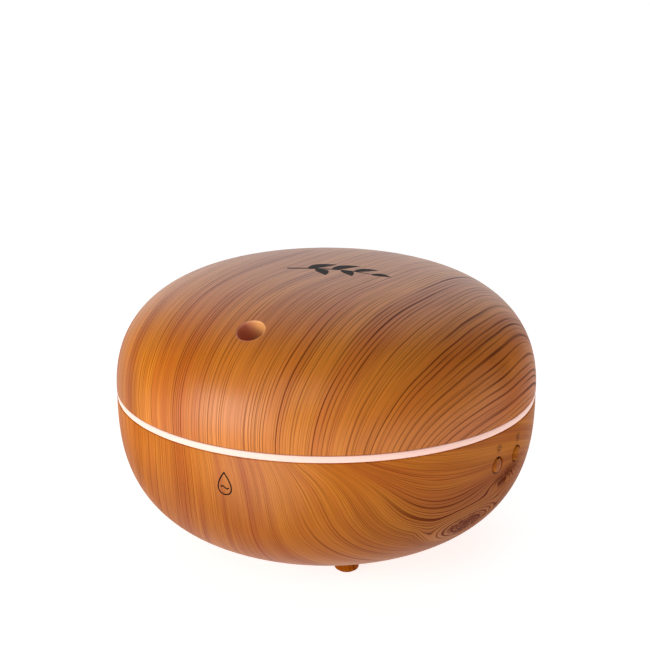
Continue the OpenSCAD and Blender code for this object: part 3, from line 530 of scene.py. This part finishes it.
def make_bowl():
    t_end = math.asin((BOWL_H / BOWL_TIP) ** (BOWL_NZ / 2))
    skin = outline(BODY_R - SKIN, BOWL_TIP - SKIN, BOWL_NR, BOWL_NZ, 0.0, 90, t_end)
    out = [(r, BOWL_Z - z) for r, z in skin]
    wall = outline(BODY_R, BOWL_TIP, BOWL_NR, BOWL_NZ, SHELL_T, 60, math.radians(89))
    inn = [(r, BOWL_Z - z) for r, z in wall]
    shelf = 10.4
    rim = 0.5
    top = [(BODY_R - SKIN - rim + rim * math.cos(a), BOWL_Z - rim + rim * math.sin(a))
           for a in [math.radians(x) for x in (90, 67, 45, 22)]]
    foot_r = 49.48
    edge = [(foot_r + 0.05, FOOT_H + 0.42), (foot_r - 0.45, FOOT_H + 0.1), (foot_r - 1.1, FOOT_H)]
    pts = [(BODY_R - SHELL_T, BOWL_Z)] + top + [p for p in out if FOOT_H + 0.7 < p[1] < BOWL_Z - rim] + edge
    pts += [(47.88, FOOT_H), (47.88, 8.7), (46.48, 8.7), (46.48, shelf)]
    pts += [p for p in reversed(inn) if shelf + 0.2 < p[1] < BOWL_Z - 0.2]
    ob = lathe("bowl_shell", pts, 256)
    for s in (-1, 1):
        lip = [(HOLE_R, BUTTON_FACE - 0.45), (HOLE_R + 0.08, BUTTON_FACE - 0.2), (HOLE_R + 0.3, BUTTON_FACE),
               (HOLE_R + 0.7, BUTTON_FACE + 0.25)]
        hole = [(0, 70), (HOLE_R, 70)] + lip + [(HOLE_R + 0.7, 90), (0, 90)]
        cut(ob, place(lathe("hole", hole, 72), at_button(s)))
    # the cord's channel at the rear: its block, then the way through
    block = box_mesh("block", (-5, 45.5, 6.55), (5, 57.5, 18.3))
    within = [(0, FOOT_H)] + [p for p in reversed(out) if FOOT_H + 0.7 < p[1] < 30] + [(0, 30)]
    cut(block, lathe("within", within, 256), "INTERSECT")
    cut(ob, block, "UNION")
    tube = place(lathe("tube", [(0, 44), (3.5, 44), (3.5, 90), (0, 90)], 64),
                 Matrix.Translation((0, 0, 13.3 * MM)) @ Matrix.Rotation(-math.pi / 2, 4, "X"))
    cut(ob, tube)
    cut(ob, box_mesh("slot", (-3.5, 44, 5.0), (3.5, 90, 13.3)))
    smooth(ob, 28)
    return ob


def make_button(name, side):
    """A cap with a softly crowned face that follows the bowl, and its flange behind the wall."""
    f = BUTTON_FACE + 0.4 - SKIN
    back_of_wall = BUTTON_FACE - SHELL_T
    face = [(0, f + 0.02), (1.0, f + 0.01), (1.9, f - 0.06), (2.35, f - 0.16), (2.7, f - 0.36),
            (2.86, f - 0.62), (BUTTON_R, f - 0.95)]
    flange = [(BUTTON_R, back_of_wall - 1.3), (FLANGE_R, back_of_wall - 1.3),
              (FLANGE_R, back_of_wall - 2.3), (0, back_of_wall - 2.3)]
    ob = place(lathe(name, face + flange, 64, closed=False), at_button(side))
    smooth(ob, 40)
    return ob


# ---------------------------------------------------------------- prints: thin ribbons laid on the skin
def on_cover(x, y, lift):
    """The point of the cover's skin above (x, y), lifted off it."""
    r = math.hypot(x, y)
    h = (COVER_H - SKIN) * (1 - (r / (BODY_R - SKIN)) ** COVER_NR) ** (1 / COVER_NZ)
    n = normal(BODY_R, COVER_H, COVER_NR, COVER_NZ, r, h)
    out = Vector((x / r * n.x if r > 1e-6 else 0.0, y / r * n.x if r > 1e-6 else 0.0, n.y))
    return (Vector((x, y, COVER_Z + h)) + out * lift) * MM


def on_bowl(az, z, lift):
    r = (BODY_R - SKIN) * (1 - ((BOWL_Z - z) / (BOWL_TIP - SKIN)) ** BOWL_NZ) ** (1 / BOWL_NR)
    n = normal(BODY_R, BOWL_TIP, BOWL_NR, BOWL_NZ, r, BOWL_Z - z)
    a = math.radians(az)
    way = Vector((math.sin(a), -math.cos(a), 0))
    return (way * r + Vector((0, 0, z)) + (way * n.x + Vector((0, 0, -n.y))) * lift) * MM


def ribbon(bm, line, width, to_skin, closed=False, lift=0.03):
    """A flat printed stroke of this width along a line of (u, v) points in millimetres."""
    n = len(line)
    left, right = [], []
    for i, (u, v) in enumerate(line):
        a = line[(i - 1) % n] if closed or i > 0 else line[i]
        b = line[(i + 1) % n] if closed or i < n - 1 else line[i]
        w = width[i] if isinstance(width, list) else width
        t = Vector((b[0] - a[0], b[1] - a[1]))
        t = t.normalized() if t.length > 1e-9 else Vector((1, 0))
        s = Vector((-t.y, t.x)) * w / 2
        left.append(bm.verts.new(to_skin(u + s.x, v + s.y, lift)))
        right.append(bm.verts.new(to_skin(u - s.x, v - s.y, lift)))
    for i in range(n if closed else n - 1):
        j = (i + 1) % n
        bm.faces.new((left[i], right[i], right[j], left[j]))


def fill(bm, left, right, to_skin, lift=0.03):
    """A filled shape between two lines of the same number of points."""
    rows = []
    for a, b in zip(left, right):
        row = [(a[0] + (b[0] - a[0]) * k / 4, a[1] + (b[1] - a[1]) * k / 4) for k in range(5)]
        rows.append([bm.verts.new(to_skin(u, v, lift)) for u, v in row])
    for p, q in zip(rows, rows[1:]):
        for k in range(4):
            bm.faces.new((p[k], q[k], q[k + 1], p[k + 1]))


def print_object(name, bm, material, body):
    bmesh.ops.recalc_face_normals(bm, faces=bm.faces)
    up = sum((f.normal.dot(f.calc_center_median() - Vector((0, 0, RING_Z * MM))) for f in bm.faces))
    if up < 0:
        bmesh.ops.reverse_faces(bm, faces=bm.faces)
    me = bpy.data.meshes.new(name)
    bm.to_mesh(me)
    bm.free()
    ob = bpy.data.objects.new(name, me)
    bpy.context.scene.collection.objects.link(ob)
    me.materials.append(material)
    smooth(ob, 60)
    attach(ob, body)
    return ob


def arc_points(r, a0, a1, n=24):
    turns = [math.radians(a0 + (a1 - a0) * i / n) for i in range(n + 1)]
    return [(r * math.cos(a), r * math.sin(a)) for a in turns]


def top_mark(ink):
    """A sprig of five broad leaves lying across the top."""
    bm = bmesh.new()
    cx, cy = 4.0, -3.5

    def at(u, v, lift):
        return on_cover(cx + u, cy + v, lift)
    stem = [(-17 + 33 * i / 40, -5.0 + 6.5 * math.sin(math.pi * i / 62)) for i in range(41)]
    ribbon(bm, stem, [0.5 + 0.9 * (1 - i / 40) for i in range(41)], at)
    leaves = ((9, 52, 13.0), (13, -44, 10.5), (20, 48, 12.5), (25, -40, 9.5), (31, 38, 10.0), (40, 6, 8.5))
    for i, turn, size in leaves:
        x0, y0 = stem[i]
        d = Vector((math.cos(math.radians(turn)), math.sin(math.radians(turn))))
        s = Vector((-d.y, d.x))
        left, right = [], []
        for j in range(19):
            f = j / 18
            half = size * 0.21 * math.sin(math.pi * f ** 0.75) + 0.03
            c = Vector((x0, y0)) + d * (0.2 + size * f) + s * size * 0.10 * math.sin(math.pi * f)
            left.append(tuple(c + s * half))
            right.append(tuple(c - s * half))
        fill(bm, left, right, at)
    return print_object("leaf_print", bm, ink, "cover")


def front_mark(ink):
    """A drop outline with a small ripple in it."""
    bm = bmesh.new()
    z0 = RING_Z - 12.3

    def at(u, v, lift):
        r = bowl_radius(z0)
        return on_bowl(math.degrees(u / r), z0 + v, lift)
    drop = []
    for i in range(64):
        a = 2 * math.pi * i / 64
        drop.append((3.6 * math.sin(a) * math.sin(a / 2) ** 1.15, 4.4 * math.cos(a) - 0.1))
    ribbon(bm, drop, 0.55, at, closed=True)
    ripple = [(-1.7 + 3.4 * i / 20, -1.6 + 0.45 * math.sin(2 * math.pi * i / 20)) for i in range(21)]
    ribbon(bm, ripple, 0.5, at)
    return print_object("drop_print", bm, ink, "base")


def button_marks(ink):
    bm = bmesh.new()
    r = bowl_radius(BUTTON_Z + 6.5)
    z0 = BUTTON_Z + 6.7
    for side in (-1, 1):
        az0 = BUTTON_AZ + math.degrees(math.asin(side * BUTTON_PITCH / 2 / r))

        def at(u, v, lift):
            return on_bowl(az0 + math.degrees(u / r), z0 + v, lift)
        if side < 0:
            ribbon(bm, arc_points(0.8, 0, 345), 0.28, at)
            for k in range(8):
                a = math.radians(45 * k)
                ribbon(bm, [(math.cos(a) * q, math.sin(a) * q) for q in (1.2, 1.7)], 0.26, at)
        else:
            for k in (-1, 0, 1):
                swing = [0.3 * math.sin(2 * math.pi * i / 16) for i in range(17)]
                ribbon(bm, [(k * 0.95 + u, -1.5 + 3.0 * i / 16) for i, u in enumerate(swing)], 0.27, at)
    return print_object("button_prints", bm, ink, "base")


# ---------------------------------------------------------------- build
wood_cover = wood_material("wood_cover", "cover", 0.5)
wood_bowl = wood_material("wood_bowl", "bowl", 0.16)
glow = glow_material()
ink = plastic("mark_ink", srgb(30, 19, 14), rough=0.6, vary=0.2, relief=0.05, spec=0.08)
white = plastic("white_moulding", (0.82, 0.82, 0.80), rough=0.42, fine=2.5, vary=0.03)
tank_white = plastic("tank_moulding", (0.80, 0.80, 0.77), rough=0.32, fine=1.2, vary=0.03, sss=0.1)
black = plastic("black_moulding", (0.018, 0.018, 0.020), rough=0.45, fine=5.0, vary=0.25, relief=0.3)
rubber = plastic("silicone", (0.62, 0.61, 0.58), rough=0.6, fine=4.0, vary=0.05, spec=0.35)
pad_rubber = plastic("pad_rubber", srgb(86, 58, 40), rough=0.75, fine=5.0, vary=0.15, spec=0.3)
steel = metal("zinc_steel", (0.60, 0.60, 0.61), rough=0.32)
sheet = metal("stamped_steel", (0.66, 0.67, 0.68), rough=0.28, way=(1.0, 0.08, 0.3))
nickel = metal("nickel_contact", (0.78, 0.74, 0.64), rough=0.22, way=(0.3, 1.0, 0.3))
alu = metal("extruded_aluminium", (0.72, 0.73, 0.75), rough=0.35, way=(0.2, 0.05, 1.0))
disc_metal = metal("silvered_ceramic", (0.80, 0.78, 0.72), rough=0.38, way=(0.6, 0.6, 0.6))
copper = winding("copper_winding", (0.72, 0.33, 0.14))
pcb = circuit_board("green_board")
sleeve = plastic("capacitor_sleeve", (0.012, 0.025, 0.09), rough=0.25, fine=1.0, vary=0.2)
lamp = plastic("lamp_lens", (0.85, 0.80, 0.45), rough=0.25, fine=1.5, vary=0.08, sss=0.2)
wires = {
    "power_lead": plastic("wire_red", (0.50, 0.015, 0.012), rough=0.35, fine=1.0, vary=0.1),
    "fan_lead": plastic("wire_yellow", (0.72, 0.47, 0.02), rough=0.35, fine=1.0, vary=0.1),
    "disc_lead": plastic("wire_orange", (0.74, 0.20, 0.015), rough=0.35, fine=1.0, vary=0.1),
    "led_lead": plastic("wire_white", (0.75, 0.75, 0.72), rough=0.35, fine=1.0, vary=0.05),
    "button_lead": plastic("wire_green", (0.03, 0.28, 0.07), rough=0.35, fine=1.0, vary=0.1),
}
node_material = {
    "top_cover": wood_cover, "lower_shell": wood_bowl, "bottom_cover": wood_bowl,
    "light_button": wood_bowl, "mist_button": wood_bowl, "light_ring": glow,
    "mist_guide": white, "air_cap": white, "fan_hood": white, "wire_headers": white, "water_tank": tank_white,
    "guide_seal": rubber, "tank_seal": rubber, "disc_seal": rubber, "foot_pads": pad_rubber,
    "ceramic_disc": disc_metal, "disc_clamp": sheet, "jack_pin": nickel, "heat_sink": alu,
    "fan_frame": black, "fan_rotor": black, "light_switch_stem": black, "mist_switch_stem": black,
    "switch_bodies": black, "power_transistor": black, "control_chips": black, "power_jack": black,
    "fan_stator": copper, "inductors": copper, "capacitors": sleeve, "led_chips": lamp,
    "led_board": pcb, "button_board": pcb, "main_board": pcb, **wires,
}
for name, ob in nodes.items():
    ob.data.materials.clear()
    ob.data.materials.append(node_material.get(name, steel))

for ob, node, body, mat in (
        (make_cover(), "top_cover", "cover", wood_cover),
        (make_ring(), "light_ring", "base", glow),
        (make_bowl(), "lower_shell", "base", wood_bowl),
        (make_button("light_cap", -1), "light_button", "light_button", wood_bowl),
        (make_button("mist_cap", 1), "mist_button", "mist_button", wood_bowl)):
    ob.data.materials.clear()
    ob.data.materials.append(mat)
    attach(ob, body)
    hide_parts(node)

top_mark(ink)
front_mark(ink)
button_marks(ink)


# ---------------------------------------------------------------- studio
def area(name, where, at, size, power, colour=(1, 1, 1)):
    l = bpy.data.lights.new(name, "AREA")
    l.shape = "RECTANGLE"
    l.size, l.size_y = size
    l.energy = power
    l.color = colour
    o = bpy.data.objects.new(name, l)
    o.location = where
    o.rotation_euler = (Vector(at) - Vector(where)).to_track_quat("-Z", "Y").to_euler()
    bpy.context.scene.collection.objects.link(o)
    return o


floor = box_mesh("studio_floor", (-30000, -30000, -20), (30000, 30000, 0))
fm, ft, fp, fpos = new_material("studio_floor")
pale = ft.mix(ft.noise(fpos, scale=0.004), (0.54, 0.54, 0.54), (0.58, 0.58, 0.58))
ft.put(fp.inputs["Base Color"], pale)
ft.put(fp.inputs["Emission Color"], ft.mix(ft.noise(fpos, scale=0.003), (0.97, 0.97, 0.97), (1.0, 1.0, 1.0)))
fp.inputs["Emission Strength"].default_value = 0.84
fp.inputs["Roughness"].default_value = 0.9
fp.inputs["Specular IOR Level"].default_value = 0.0
floor.data.materials.append(fm)

CAM_AZ, CAM_EL, CAM_D = 25.8, 18.904, 0.57184
SENSOR, LENS, SHIFT_X, SHIFT_Y = 36.0, 78.238, -0.00212, 0.08830
ca, ce = math.radians(CAM_AZ), math.radians(CAM_EL)
back = Vector((math.sin(ca) * math.cos(ce), -math.cos(ca) * math.cos(ce), math.sin(ce)))
side_way = Vector((math.cos(ca), math.sin(ca), 0))
front_way = Vector((math.sin(ca), -math.cos(ca), 0))
centre = Vector((0, 0, RING_Z * MM))

# The room: a white backdrop behind and above the object that darkens towards the front
world = bpy.data.worlds.new("studio")
world.use_nodes = True
w = Tree(world.node_tree)
way = w.node("ShaderNodeTexCoord").outputs["Generated"]
behind = w.step(w.dot(way, tuple(-front_way)), 0.05, 0.62)
aside = w.step(w.math("ABSOLUTE", w.dot(way, tuple(side_way))), 0.72, 0.30)
light = behind * aside * 1.06 + 0.14
w.put(world.node_tree.nodes["Background"].inputs["Strength"], light)
world.node_tree.nodes["Background"].inputs["Color"].default_value = (1.0, 1.0, 1.0, 1.0)
scene = bpy.context.scene
scene.world = world
scene.view_settings.view_transform = "Standard"


def polar(az, el, dist):
    """A place round the object: az from the camera's side towards its right, el up."""
    a, e = math.radians(az), math.radians(el)
    level = (front_way * math.cos(a) + side_way * math.sin(a)) * dist * math.cos(e)
    return centre + level + Vector((0, 0, dist * math.sin(e)))


area("key", polar(-50, 8, 0.62), polar(0, 8, 0.0), (0.44, 0.32), 2.1)
area("rim_right", polar(98, 8, 0.80), centre, (0.42, 0.42), 0.45)
area("fill", polar(-20, 34, 1.6), centre, (0.9, 0.9), 3.4)

cam = bpy.data.cameras.new("camera")
cam.sensor_width = SENSOR
cam.lens = LENS
cam.shift_x = SHIFT_X
cam.shift_y = SHIFT_Y
cam.clip_start = 0.01
cam.clip_end = 50.0
camera = bpy.data.objects.new("camera", cam)
camera.location = centre + back * CAM_D
camera.rotation_euler = (-back).to_track_quat("-Z", "Y").to_euler()
scene.collection.objects.link(camera)
scene.camera = camera
